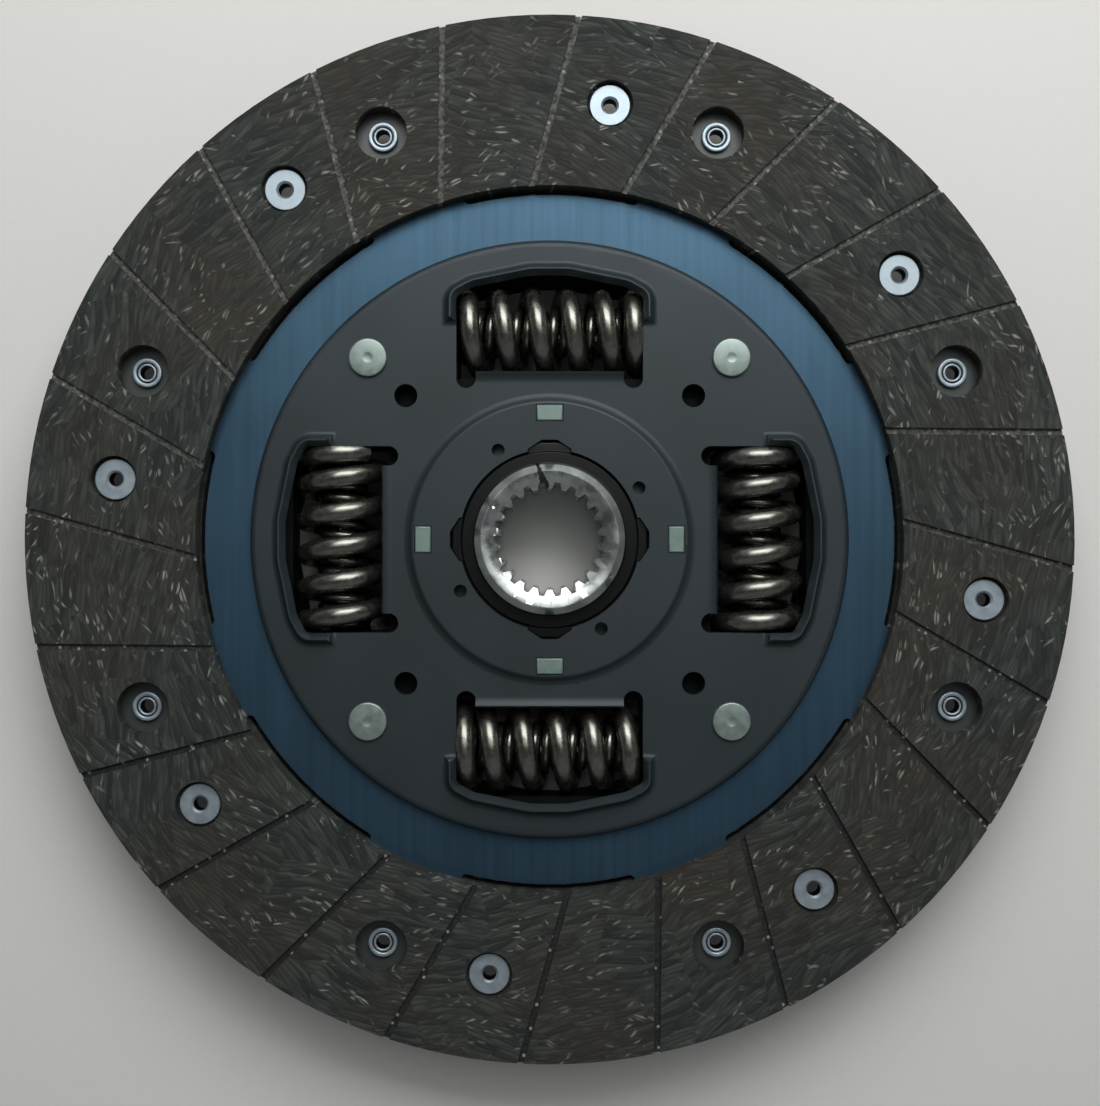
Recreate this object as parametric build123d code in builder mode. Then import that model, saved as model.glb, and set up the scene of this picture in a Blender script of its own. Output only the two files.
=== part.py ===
from build123d import *

import os
from math import asin, atan2, cos, degrees, pi, radians, sin, tan

os.makedirs("parts", exist_ok=True)

# A torsion-damped clutch driven disc, in millimetres. The origin is on the shaft's axis, in the
# middle of the cushion disc. +Z points out of the face that carries the thrust washer's lugs.

# Friction facings
facing_outer_d = 225.0
facing_inner_d = 152.0
facing_thickness = 3.5
groove_count = 24
groove_width = 1.4
groove_depth = 0.8
groove_outer_angle = -3.2
groove_inner_angle = 2.9
counterbore_r = 5.0
counterbore_land = 1.2
rolled_end_clearance_r = 5.6

# Rivets that hold each facing
rivets_per_facing = 8
rivet_circle_r = 94.4
rear_rivet_angle = 22.5
front_rivet_angle = 37.1
rivet_head_r = 4.4
rivet_head_t = 0.9
rivet_shank_r = 2.0
rivet_bore_r = 1.5
rivet_roll_r = 3.2
rivet_roll_t = 1.1
rivet_fit = 0.05

# Cushion disc of spring steel
cushion_thickness = 0.9
cushion_wave = 0.35
cushion_ring_r = 74.8
neck_angle = 22.2
neck_width = 16.2
neck_root_r = 1.2
paddle_count = 8
cushion_window_gap = 1.8
paddle_span = 40.0
paddle_inner_gap = 2.6
paddle_edge_inset = 1.5
paddle_ramp = 8.0

# Retaining plates of pressed steel
plate_thickness = 2.6
front_plate_r = 64.7
rear_plate_r = 63.3
plate_rim_r = 1.6
plate_gap = 11.6
plate_hole_r = 19.4
emboss_height = 1.2
emboss_r = 29.6
emboss_slope = 45.0
vent_hole_r = 2.5
vent_circle_r = 43.8
small_hole_r = 1.4
small_circle_r = 22.1
small_hole_angle = 30.0
notch_depth = 2.0
notch_base = 9.4
notch_tip = 3.4

# Damper springs, and the windows that they sit in
window_count = 4
spring_circle_r = 45.6
window_length = 40.2
spring_end_gap = 0.1
outer_coil_r = 8.1
outer_wire_r = 2.2
outer_pitch = 7.43
outer_end_turns = 0.6
inner_coil_r = 4.5
inner_wire_r = 1.1
inner_pitch = 2.73
inner_end_turns = 0.75
end_pitch_per_wire = 0.68
end_grind_per_wire = 0.45
spring_turned = [0.0, 0.11, 0.0, -0.25]
outer_steps = 12
outer_sides = 6
inner_steps = 8
inner_sides = 4
window_side_gap = 0.2
ear_length = 4.2
ear_depth = 3.6
lip_radial_inset = 9.4
lip_rise = 1.3
lip_width = 2.4
lip_edge = 0.5
arch_crown_gap = 0.9
arch_crown_half = 4.1
arch_shoulder_half = 16.4
arch_shoulder_drop = 2.5
arch_corner_drop = 4.5
arch_foot = 46.6
arch_crown_round = 8.0
arch_shoulder_round = 6.0
arch_corner_round = 1.8
hood_rise = 2.0
hood_width = 2.5
hood_slope = 28.0
hood_foot_round = 1.2
hood_sill = 0.4
hood_edge_slope = 34.5
hood_hollow = 1.8
hood_hollow_slope = 33.0

# Stop pins, which are also the distance pieces between the two plates
stop_pin_circle_r = 55.3
stop_pin_angle = 45.0
stop_pin_r = 4.8
stop_pin_neck_r = 3.2
stop_pin_head_r = 4.1
stop_pin_head_t = 0.9
stop_pin_fit = 0.05

# Hub, with the flange that the springs drive
hub_r = 16.0
hub_front_z = 8.5
hub_rear_z = -18.0
hub_bevel = 1.4
hub_cone_r = 14.4
hub_cone_depth = 0.9
flange_r = 60.0
flange_thickness = 7.6
flange_window_corner = 0.5
spline_teeth = 22
spline_root_r = 12.15
spline_tip_r = 10.75
spline_space_root = 1.15
spline_space_mouth = 2.05
twist_forward = 9.0
twist_back = -7.0
stop_clearance = 0.15

# Bushes and the friction pack between the flange and the plates
bush_play = 0.08
axial_play = 0.05
bush_wall = 3.1
bush_collar_r = 20.5
bush_stand = 0.8
bush_lug_play = 0.2
bush_bevel = 0.4
washer_inner_r = 20.8
washer_outer_r = 27.9
friction_washer_t = 1.0
thrust_washer_t = 1.0
lug_circle_r = 27.2
lug_width = 5.6
lug_depth = 3.4
lug_slot_play = 0.15
lug_stand = 0.2
lug_corner = 0.5
cone_spring_outer_r = 24.8
cone_spring_t = 0.6

# How far a cut runs past the faces that it opens, and a lug into what carries it
cut_over = 1.0


def mirrored(height):
    """Height of a surface's mirror image in the springs' middle plane."""
    return 2 * spring_z - height


# Levels along the axis
cushion_top = cushion_thickness / 2
facing_seat = cushion_top + cushion_wave
facing_face = facing_seat + facing_thickness
plate_seat = cushion_top
plate_face = plate_seat + plate_thickness
spring_z = plate_seat - plate_gap / 2
flange_top = spring_z + flange_thickness / 2
flange_bottom = spring_z - flange_thickness / 2
emboss_seat = plate_seat + emboss_height
emboss_face = plate_face + emboss_height
rear_seat = mirrored(plate_seat)
rear_face = mirrored(plate_face)

# Sizes that follow from the ones above
facing_outer_r = facing_outer_d / 2
facing_inner_r = facing_inner_d / 2
outer_spring_r = outer_coil_r + outer_wire_r
spring_length = window_length - 2 * spring_end_gap
window_inner_r = spring_circle_r - outer_spring_r - window_side_gap
window_outer_r = spring_circle_r + outer_spring_r + window_side_gap
arch_crown_r = window_outer_r + arch_crown_gap - window_side_gap
lip_y = spring_circle_r - lip_radial_inset
bush_inner_r = hub_r + bush_play
bush_outer_r = bush_inner_r + bush_wall
window_angles = [360 / window_count * index for index in range(window_count)]
paddle_angle = (rear_rivet_angle + front_rivet_angle) / 2
stop_half_angle = degrees(asin((stop_pin_r + stop_clearance) / stop_pin_circle_r))


def sector(radius_in, radius_out, middle, span):
    """Face of a ring's sector, whose ends are radial and whose two arcs are true arcs."""
    angles = (middle - span / 2, middle, middle + span / 2)
    inner = [Vector(radius_in, 0).rotate(Axis.Z, angle) for angle in angles]
    outer = [Vector(radius_out, 0).rotate(Axis.Z, angle) for angle in angles]
    with BuildSketch() as face:
        with BuildLine():
            ThreePointArc(*inner)
            ThreePointArc(*outer)
            Line(inner[0], outer[0])
            Line(inner[2], outer[2])
        make_face()
    return face.sketch


def arch_face(foot, out=0.0):
    """Face of a window's outer half: straight feet, rounded corners and a crown, grown if asked."""
    half = window_length / 2
    right = [
        (arch_crown_half, arch_crown_r),
        (arch_shoulder_half, arch_crown_r - arch_shoulder_drop),
        (half, arch_crown_r - arch_corner_drop),
        (half, foot + out),
    ]
    left = [(-x, y) for x, y in reversed(right)]
    rounds = [arch_corner_round, arch_shoulder_round, arch_crown_round]
    with BuildSketch() as face:
        with BuildLine():
            FilletPolyline(*left, *right, radius=[*rounds, *reversed(rounds)])
            Line(left[0], right[-1])
        make_face()
        if out:
            offset(amount=out, kind=Kind.INTERSECTION)
    return face.sketch


def notch_points(play):
    """Trapezoid, in the direction of +X, of a notch in the plate's hole, or of its bush lug."""
    tip_r = plate_hole_r + notch_depth - play
    lower = [
        (bush_outer_r - cut_over, play - notch_base / 2),
        (plate_hole_r, play - notch_base / 2),
        (tip_r, play - notch_tip / 2),
    ]
    upper = [(x, -y) for x, y in reversed(lower)]
    return lower + upper


def window_face():
    """Opening of one plate window: an arch outside, a straight lip and two ears inside."""
    half = window_length / 2
    ear_bottom = lip_y - ear_depth
    with BuildSketch() as opening:
        add(arch_face(lip_y))
        with Locations((half - ear_length / 2, lip_y), (-half + ear_length / 2, lip_y)):
            Rectangle(ear_length, 2 * (ear_depth - ear_length / 2))
        with Locations(
            (half - ear_length / 2, ear_bottom + ear_length / 2),
            (-half + ear_length / 2, ear_bottom + ear_length / 2),
        ):
            Circle(ear_length / 2)
    return opening.sketch


def hood():
    """Pressed hood round a window's outer half, solid across the window, before it is cut."""
    with BuildPart() as block:
        with BuildSketch(Plane.XY.offset(plate_face)):
            add(arch_face(arch_foot, hood_width))
        extrude(amount=hood_rise, taper=hood_slope)
    return block.part


def hood_mouth():
    """Space that the hood's inclined edge leaves: it opens from the window upwards."""
    with BuildPart() as block:
        with BuildSketch(Plane.XY.offset(plate_face + hood_sill)):
            add(arch_face(arch_foot))
        extrude(amount=hood_rise - hood_sill, taper=-hood_edge_slope)
    return block.part


def hood_underside():
    """Hollow under the hood, where the sheet was pressed up."""
    with BuildPart() as block:
        with BuildSketch(Plane.XY.offset(plate_seat)):
            add(arch_face(arch_foot, hood_hollow))
        extrude(amount=plate_thickness, taper=hood_hollow_slope)
    return block.part


def lip_bar():
    """Straight lip along a window's inner side, turned up over the spring."""
    with BuildPart() as bar:
        with BuildSketch(Plane.YZ.offset(-(window_length / 2 - ear_length))):
            with BuildLine():
                Polyline(
                    (lip_y - lip_width, plate_face),
                    (lip_y - lip_edge, plate_face + lip_rise),
                    (lip_y, plate_face),
                    (lip_y, plate_face - lip_rise),
                    (lip_y - lip_width, plate_face - lip_rise),
                    close=True,
                )
            make_face()
        extrude(amount=window_length - 2 * ear_length)
    return bar.part


def plate_blank(outer_r):
    """Turned blank of a retaining plate, with its pressed-up centre and its rounded rim."""
    slope = emboss_height / tan(radians(emboss_slope))
    shift = plate_thickness * tan(radians(emboss_slope / 2))
    with BuildPart() as blank:
        with BuildSketch(Plane.XZ):
            with BuildLine():
                Polyline(
                    (plate_hole_r, emboss_seat),
                    (plate_hole_r, emboss_face),
                    (emboss_r, emboss_face),
                    (emboss_r + slope, plate_face),
                    (outer_r - plate_rim_r, plate_face),
                )
                RadiusArc(
                    (outer_r - plate_rim_r, plate_face),
                    (outer_r, plate_face - plate_rim_r),
                    plate_rim_r,
                )
                Polyline(
                    (outer_r, plate_face - plate_rim_r),
                    (outer_r, plate_seat),
                    (emboss_r + slope - shift, plate_seat),
                    (emboss_r - shift, emboss_seat),
                    (plate_hole_r, emboss_seat),
                )
            make_face()
        revolve(axis=Axis.Z)
    return blank.part


hood_solid = hood()
hood_mouth_solid = hood_mouth()
hood_hollow_solid = hood_underside()
lip_solid = lip_bar()


def retaining_plate(outer_r, slotted):
    """Retaining plate, seen from outside: windows with hoods and lips, and its holes."""
    with BuildPart() as plate:
        add(plate_blank(outer_r))
        with PolarLocations(0, window_count):
            add(hood_solid)
        feet = edges().filter_by_position(Axis.Z, plate_face, plate_face)
        fillet(feet.filter_by(lambda edge: not edge.is_closed), hood_foot_round)
        with PolarLocations(0, window_count):
            add(lip_solid)
        with BuildSketch(Plane.XY.offset(plate_seat - cut_over)):
            with PolarLocations(0, window_count):
                add(window_face())
        extrude(amount=plate_thickness + hood_rise + 2 * cut_over, mode=Mode.SUBTRACT)
        with PolarLocations(0, window_count):
            add(hood_mouth_solid, mode=Mode.SUBTRACT)
            add(hood_hollow_solid, mode=Mode.SUBTRACT)
        with BuildSketch(Plane.XY.offset(plate_seat - cut_over)):
            with PolarLocations(vent_circle_r, window_count, start_angle=stop_pin_angle):
                Circle(vent_hole_r)
            with PolarLocations(stop_pin_circle_r, window_count, start_angle=stop_pin_angle):
                Circle(stop_pin_neck_r + stop_pin_fit)
            with PolarLocations(small_circle_r, window_count, start_angle=small_hole_angle):
                Circle(small_hole_r)
            with PolarLocations(0, window_count):
                Polygon(*notch_points(0), align=None)
            if slotted:
                with PolarLocations(lug_circle_r, window_count):
                    Rectangle(lug_depth + 2 * lug_slot_play, lug_width + 2 * lug_slot_play)
        extrude(amount=plate_thickness + emboss_height + 2 * cut_over, mode=Mode.SUBTRACT)
    return plate.part


with BuildPart() as front_retaining_plate:
    add(retaining_plate(front_plate_r, slotted=True))

# The rear plate is the same pressing turned over, a little smaller and without the lug slots.
with BuildPart() as rear_retaining_plate:
    add(mirror(retaining_plate(rear_plate_r, slotted=False), Plane.XY.offset(spring_z)))


# One paddle of the cushion disc: a strip waved so that it bears on the rear facing at one rivet
# and on the front facing at the next.
def wave_line(height):
    reach = facing_outer_r
    step = rivet_circle_r * sin(radians((front_rivet_angle - rear_rivet_angle) / 2))
    ends = [-3 * step, -step, step, 3 * step]
    levels = [cushion_wave, -cushion_wave, cushion_wave, -cushion_wave]
    points = [(-reach, levels[0] + height)]
    for place, before, after in zip(ends[:-1], levels[:-1], levels[1:]):
        middle = place + step
        points.append((middle - paddle_ramp / 2, before + height))
        points.append((middle + paddle_ramp / 2, after + height))
    points.append((reach, levels[-1] + height))
    return points


with BuildPart() as paddle:
    with BuildSketch(Plane.YZ):
        with BuildLine():
            Polyline(
                *wave_line(-cushion_thickness / 2),
                *reversed(wave_line(cushion_thickness / 2)),
                close=True,
            )
        make_face()
    extrude(amount=facing_outer_r)
    with BuildSketch(Plane.XY.offset(-facing_thickness)):
        add(sector(
            facing_inner_r + paddle_inner_gap,
            facing_outer_r - paddle_edge_inset,
            0,
            paddle_span,
        ))
    extrude(amount=2 * facing_thickness, mode=Mode.INTERSECT)
    with BuildSketch(Plane.XY.offset(-facing_thickness)):
        for angle in (rear_rivet_angle - paddle_angle, front_rivet_angle - paddle_angle):
            with Locations(Vector(rivet_circle_r, 0).rotate(Axis.Z, angle)):
                Circle(rivet_shank_r + rivet_fit)
    extrude(amount=2 * facing_thickness, mode=Mode.SUBTRACT)

with BuildPart() as cushion_disc:
    with BuildSketch(Plane.XY.offset(-cushion_thickness / 2)):
        Circle(cushion_ring_r)
        with PolarLocations(0, paddle_count):
            add(sector(
                cushion_ring_r - cut_over,
                facing_inner_r + paddle_inner_gap + cut_over,
                neck_angle,
                neck_width,
            ))
        fillet(vertices(Select.LAST).group_by(SortBy.DISTANCE)[0], neck_root_r)
        Circle(stop_pin_circle_r - stop_pin_r, mode=Mode.SUBTRACT)
        with PolarLocations(0, window_count):
            with Locations((window_outer_r / 2, 0)):
                Rectangle(
                    window_outer_r + 2 * cushion_window_gap,
                    window_length + 2 * cushion_window_gap,
                    mode=Mode.SUBTRACT,
                )
        with PolarLocations(stop_pin_circle_r, window_count, start_angle=stop_pin_angle):
            Circle(stop_pin_neck_r + stop_pin_fit, mode=Mode.SUBTRACT)
    extrude(amount=cushion_thickness)
    with PolarLocations(0, paddle_count, start_angle=paddle_angle):
        add(paddle.part)


def facing(seat_rivet_angle, clear_rivet_angle):
    """Friction ring lying on the cushion disc's front, grooved, with its two kinds of hole."""
    outer_end = Vector(facing_outer_r, 0).rotate(Axis.Z, groove_outer_angle)
    inner_end = Vector(facing_inner_r, 0).rotate(Axis.Z, groove_inner_angle)
    run = outer_end - inner_end
    with BuildPart() as ring:
        with BuildSketch(Plane.XY.offset(facing_seat)):
            Circle(facing_outer_r)
            Circle(facing_inner_r, mode=Mode.SUBTRACT)
            with PolarLocations(rivet_circle_r, rivets_per_facing, start_angle=clear_rivet_angle):
                Circle(rolled_end_clearance_r, mode=Mode.SUBTRACT)
            with PolarLocations(rivet_circle_r, rivets_per_facing, start_angle=seat_rivet_angle):
                Circle(rivet_shank_r + rivet_fit, mode=Mode.SUBTRACT)
        extrude(amount=facing_thickness)
        with BuildSketch(Plane.XY.offset(facing_seat + counterbore_land)):
            with PolarLocations(rivet_circle_r, rivets_per_facing, start_angle=seat_rivet_angle):
                Circle(counterbore_r)
        extrude(amount=facing_thickness, mode=Mode.SUBTRACT)
        with BuildSketch(Plane.XY.offset(facing_face - groove_depth)):
            with PolarLocations(0, groove_count):
                with Locations((outer_end + inner_end) / 2):
                    Rectangle(
                        run.length + 2 * groove_width,
                        groove_width,
                        rotation=degrees(atan2(run.Y, run.X)),
                    )
        extrude(amount=groove_depth, mode=Mode.SUBTRACT)
    return ring.part


with BuildPart() as front_facing:
    add(facing(front_rivet_angle, rear_rivet_angle))

# Seen from behind, the rear facing's grooves run the same way round as the front one's.
with BuildPart() as rear_facing:
    add(mirror(facing(rear_rivet_angle, front_rivet_angle), Plane.XY))


def facing_rivets(angle):
    """Tubular rivets with their heads sunk in the front facing and their ends rolled behind."""
    head_seat = facing_seat + counterbore_land
    roll_seat = cushion_wave - cushion_thickness / 2
    with BuildPart() as rivet:
        with BuildSketch(Plane.XZ):
            with BuildLine():
                Polyline(
                    (rivet_bore_r, roll_seat - rivet_roll_t),
                    (rivet_bore_r, head_seat + rivet_head_t),
                    (rivet_head_r, head_seat + rivet_head_t),
                    (rivet_head_r, head_seat),
                    (rivet_shank_r, head_seat),
                    (rivet_shank_r, roll_seat),
                    (rivet_roll_r, roll_seat),
                    (rivet_roll_r, roll_seat - rivet_roll_t),
                    close=True,
                )
            make_face()
        revolve(axis=Axis.Z)
    with BuildPart() as ring:
        with PolarLocations(rivet_circle_r, rivets_per_facing, start_angle=angle):
            add(rivet.part)
    return ring.part


with BuildPart() as front_facing_rivets:
    add(facing_rivets(front_rivet_angle))

with BuildPart() as rear_facing_rivets:
    add(mirror(facing_rivets(rear_rivet_angle), Plane.XY))

# One stop pin: its thick middle keeps the plates apart, and both ends are riveted over.
with BuildPart() as stop_pin:
    with BuildSketch(Plane.XZ):
        with BuildLine():
            Polyline(
                (0, rear_face - stop_pin_head_t),
                (stop_pin_head_r, rear_face - stop_pin_head_t),
                (stop_pin_head_r, rear_face),
                (stop_pin_neck_r, rear_face),
                (stop_pin_neck_r, rear_seat),
                (stop_pin_r, rear_seat),
                (stop_pin_r, -cushion_thickness / 2),
                (stop_pin_neck_r, -cushion_thickness / 2),
                (stop_pin_neck_r, plate_face),
                (stop_pin_head_r, plate_face),
                (stop_pin_head_r, plate_face + stop_pin_head_t),
                (0, plate_face + stop_pin_head_t),
                close=True,
            )
        make_face()
    revolve(axis=Axis.Z)

with BuildPart() as stop_pins:
    with PolarLocations(stop_pin_circle_r, window_count, start_angle=stop_pin_angle):
        add(stop_pin.part)

# Hub: a turned barrel and flange, with spring windows, stop notches and an internal spline.
bore_stock_r = spline_tip_r - cut_over
cone_run = hub_cone_r - spline_root_r
hub_profile = [
    (bore_stock_r, hub_rear_z + hub_bevel),
    (hub_cone_r, hub_rear_z),
    (hub_r - hub_bevel / 2, hub_rear_z),
    (hub_r, hub_rear_z + hub_bevel / 2),
    (hub_r, flange_bottom),
    (flange_r, flange_bottom),
    (flange_r, flange_top),
    (hub_r, flange_top),
    (hub_r, hub_front_z - hub_bevel),
    (hub_r - hub_bevel, hub_front_z),
    (hub_cone_r, hub_front_z),
    (bore_stock_r, hub_front_z - hub_cone_depth * (hub_cone_r - bore_stock_r) / cone_run),
]

spline_space = [
    (bore_stock_r, -spline_space_mouth / 2),
    (spline_tip_r, -spline_space_mouth / 2),
    (spline_root_r, -spline_space_root / 2),
    (spline_root_r, spline_space_root / 2),
    (spline_tip_r, spline_space_mouth / 2),
    (bore_stock_r, spline_space_mouth / 2),
]

with BuildPart() as hub:
    with BuildSketch(Plane.XZ):
        with BuildLine():
            Polyline(*hub_profile, close=True)
        make_face()
    revolve(axis=Axis.Z)
    with BuildSketch(Plane.XY.offset(flange_bottom)):
        with PolarLocations(spring_circle_r, window_count):
            RectangleRounded(
                2 * (outer_spring_r + window_side_gap),
                window_length,
                flange_window_corner,
            )
        for angle in window_angles:
            add(sector(
                stop_pin_circle_r - stop_pin_r - stop_clearance,
                flange_r + cut_over,
                stop_pin_angle + angle - (twist_forward + twist_back) / 2,
                twist_forward - twist_back + 2 * stop_half_angle,
            ))
    extrude(amount=flange_thickness, mode=Mode.SUBTRACT)
    with BuildSketch(Plane.XY.offset(hub_rear_z - cut_over)):
        Circle(spline_tip_r)
        with PolarLocations(0, spline_teeth):
            Polygon(*spline_space, align=None)
    extrude(amount=hub_front_z - hub_rear_z + 2 * cut_over, mode=Mode.SUBTRACT)


def coil_spring(coil_r, wire_r, pitch, end_turns, turned, hand, steps, sides):
    """Spring along X, closed and ground at both ends. The wire is drawn with flat sides."""
    reach = spring_length / 2 - end_grind_per_wire * wire_r
    end_rise = end_turns * end_pitch_per_wire * 2 * wire_r
    middle_turns = 2 * (reach - end_rise) / pitch
    turns = middle_turns + 2 * end_turns
    count = round(turns * steps)
    points = []
    for i in range(count + 1):
        turn = turns * i / count
        if turn < end_turns:
            along = -reach + end_rise * turn / end_turns
        elif turn > turns - end_turns:
            along = reach - end_rise * (turns - turn) / end_turns
        else:
            along = -reach + end_rise + pitch * (turn - end_turns)
        angle = hand * 2 * pi * (turn - end_turns - turned) + pi / 2
        points.append(Vector(along, coil_r * cos(angle), coil_r * sin(angle)))
    with BuildPart() as spring:
        with BuildLine():
            Polyline(*points)
        with BuildSketch(Plane(origin=points[0], z_dir=points[1] - points[0])):
            RegularPolygon(radius=wire_r, side_count=sides)
        sweep(transition=Transition.RIGHT)
        Box(
            spring_length,
            4 * coil_r,
            4 * coil_r,
            mode=Mode.INTERSECT,
        )
    return spring.part


outer_springs = []
inner_springs = []
for angle, turned in zip(window_angles, spring_turned):
    seat = Rot(0, 0, angle) * Pos(0, spring_circle_r, spring_z)
    outer_springs.append(seat * coil_spring(
        outer_coil_r, outer_wire_r, outer_pitch, outer_end_turns,
        turned, hand=1, steps=outer_steps, sides=outer_sides,
    ))
    inner_springs.append(seat * coil_spring(
        inner_coil_r, inner_wire_r, inner_pitch, inner_end_turns,
        turned, hand=-1, steps=inner_steps, sides=inner_sides,
    ))


# Front bush: its collar is trapped under the plate and its four lugs key into the plate.
def bush(collar_low, collar_high, top, lug_low, lug_high):
    with BuildPart() as ring:
        with BuildSketch(Plane.XZ):
            with BuildLine():
                Polyline(
                    (bush_inner_r, collar_low),
                    (bush_collar_r, collar_low),
                    (bush_collar_r, collar_high),
                    (bush_outer_r, collar_high),
                    (bush_outer_r, top - bush_bevel),
                    (bush_outer_r - bush_bevel, top),
                    (bush_inner_r, top),
                    close=True,
                )
            make_face()
        revolve(axis=Axis.Z)
        with BuildSketch(Plane.XY.offset(lug_low)):
            with PolarLocations(0, window_count):
                Polygon(*notch_points(bush_lug_play), align=None)
        extrude(amount=lug_high - lug_low)
    return ring.part


with BuildPart() as front_hub_bush:
    add(bush(
        flange_top + axial_play,
        emboss_seat - axial_play,
        emboss_face - bush_stand,
        emboss_seat,
        emboss_face - bush_stand - bush_bevel,
    ))

with BuildPart() as rear_hub_bush:
    add(mirror(front_hub_bush.part, Plane.XY.offset(spring_z)))

# Friction pack in front of the flange: friction washer, lugged thrust washer, cone spring.
with BuildPart() as front_friction_washer:
    with BuildSketch(Plane.XY.offset(flange_top + axial_play)):
        Circle(washer_outer_r)
        Circle(washer_inner_r, mode=Mode.SUBTRACT)
    extrude(amount=friction_washer_t)

thrust_seat = flange_top + axial_play + friction_washer_t
thrust_face = thrust_seat + thrust_washer_t

with BuildPart() as lugged_thrust_washer:
    with BuildSketch(Plane.XY.offset(thrust_seat)):
        Circle(washer_outer_r)
        Circle(washer_inner_r, mode=Mode.SUBTRACT)
    extrude(amount=thrust_washer_t)
    with BuildSketch(Plane.XY.offset(thrust_seat + thrust_washer_t / 2)):
        with PolarLocations(lug_circle_r, window_count):
            Rectangle(lug_depth, lug_width)
    extrude(amount=emboss_face + lug_stand - thrust_seat - thrust_washer_t / 2)
    lug_tops = faces().sort_by(Axis.Z)[-window_count:]
    chamfer(lug_tops.edges(), lug_corner / 2)

with BuildPart() as cone_spring_washer:
    with BuildSketch(Plane.XZ):
        with BuildLine():
            Polyline(
                (washer_inner_r, emboss_seat - cone_spring_t),
                (washer_inner_r, emboss_seat),
                (cone_spring_outer_r, thrust_face + cone_spring_t),
                (cone_spring_outer_r, thrust_face),
                close=True,
            )
        make_face()
    revolve(axis=Axis.Z)

# Behind the flange one thicker friction washer fills the deeper space under the rear plate.
with BuildPart() as rear_friction_washer:
    with BuildSketch(Plane.XY.offset(mirrored(emboss_seat))):
        Circle(washer_outer_r)
        Circle(washer_inner_r, mode=Mode.SUBTRACT)
    extrude(amount=flange_bottom - axial_play - mirrored(emboss_seat))

named = {
    "front_retaining_plate": front_retaining_plate.part,
    "rear_retaining_plate": rear_retaining_plate.part,
    "cushion_disc": cushion_disc.part,
    "front_facing": front_facing.part,
    "rear_facing": rear_facing.part,
    "front_facing_rivets": front_facing_rivets.part,
    "rear_facing_rivets": rear_facing_rivets.part,
    "stop_pins": stop_pins.part,
    "hub": hub.part,
    "front_hub_bush": front_hub_bush.part,
    "rear_hub_bush": rear_hub_bush.part,
    "front_friction_washer": front_friction_washer.part,
    "rear_friction_washer": rear_friction_washer.part,
    "lugged_thrust_washer": lugged_thrust_washer.part,
    "cone_spring_washer": cone_spring_washer.part,
}
for index, (outer, inner) in enumerate(zip(outer_springs, inner_springs), start=1):
    named[f"outer_spring_{index}"] = outer
    named[f"inner_spring_{index}"] = inner

for name, piece in named.items():
    piece.label = name
    export_step(piece, f"parts/{name}.step")
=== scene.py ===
from math import cos, pi, radians, sin, tan

import bmesh
import bpy
from mathutils import Matrix, Vector, kdtree


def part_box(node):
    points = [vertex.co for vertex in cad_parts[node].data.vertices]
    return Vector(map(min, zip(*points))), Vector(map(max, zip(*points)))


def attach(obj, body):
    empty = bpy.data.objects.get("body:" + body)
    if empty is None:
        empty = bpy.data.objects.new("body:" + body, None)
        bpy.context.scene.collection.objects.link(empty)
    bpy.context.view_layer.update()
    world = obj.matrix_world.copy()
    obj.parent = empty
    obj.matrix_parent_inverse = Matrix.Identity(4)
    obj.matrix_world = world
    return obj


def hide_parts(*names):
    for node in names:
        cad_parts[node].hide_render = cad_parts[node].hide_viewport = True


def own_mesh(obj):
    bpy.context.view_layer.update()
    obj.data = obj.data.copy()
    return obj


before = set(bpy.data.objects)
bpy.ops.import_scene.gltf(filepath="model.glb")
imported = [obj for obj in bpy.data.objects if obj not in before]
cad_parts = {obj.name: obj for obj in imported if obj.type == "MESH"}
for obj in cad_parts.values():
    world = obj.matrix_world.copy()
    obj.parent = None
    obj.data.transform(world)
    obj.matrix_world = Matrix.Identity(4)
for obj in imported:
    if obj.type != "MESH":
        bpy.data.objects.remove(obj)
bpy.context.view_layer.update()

bl_info = {
    "name": "Clutch disc",
    "version": (1, 0, 0),
    "blender": (4, 5, 0),
    "location": "View3D > Sidebar > Clutch",
    "description": "Finish of a torsion-damped clutch disc: springs, rivets, pins and surfaces",
    "category": "Object",
}

MM = 0.001

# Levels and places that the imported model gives
FACE_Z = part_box("front_facing")[1].z
PLATE_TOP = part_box("front_retaining_plate")[1].z
PLATE_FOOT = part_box("rear_retaining_plate")[0].z
SPRING_Z = (PLATE_TOP + PLATE_FOOT) / 2
SPRING_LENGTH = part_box("outer_spring_1")[1].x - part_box("outer_spring_1")[0].x
PIN_LOW, PIN_HIGH = (corner.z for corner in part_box("stop_pins"))
RIVET_LOW, RIVET_HIGH = (corner.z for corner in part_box("front_facing_rivets"))
FLOOR_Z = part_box("hub")[0].z
WINDOWS = 4
QUARTER = pi / 2
SHARP_ANGLE = 35


def linear(code):
    """Linear red, green and blue of an sRGB colour written as six hex digits."""
    parts = [int(code[i:i + 2], 16) / 255 for i in (0, 2, 4)]
    return tuple(p / 12.92 if p <= 0.04045 else ((p + 0.055) / 1.055) ** 2.4 for p in parts)


def length(name, millimetres, description):
    return bpy.props.FloatProperty(
        name=name, description=description, default=millimetres * MM, min=0.0,
        subtype="DISTANCE", unit="LENGTH", precision=5,
    )


def share(name, value, description):
    return bpy.props.FloatProperty(name=name, description=description, default=value)


def count(name, value, description):
    return bpy.props.IntProperty(name=name, description=description, default=value, min=1)


def colour(name, code, description):
    return bpy.props.FloatVectorProperty(
        name=name, description=description, default=linear(code), size=3,
        min=0.0, max=1.0, subtype="COLOR",
    )


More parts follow.
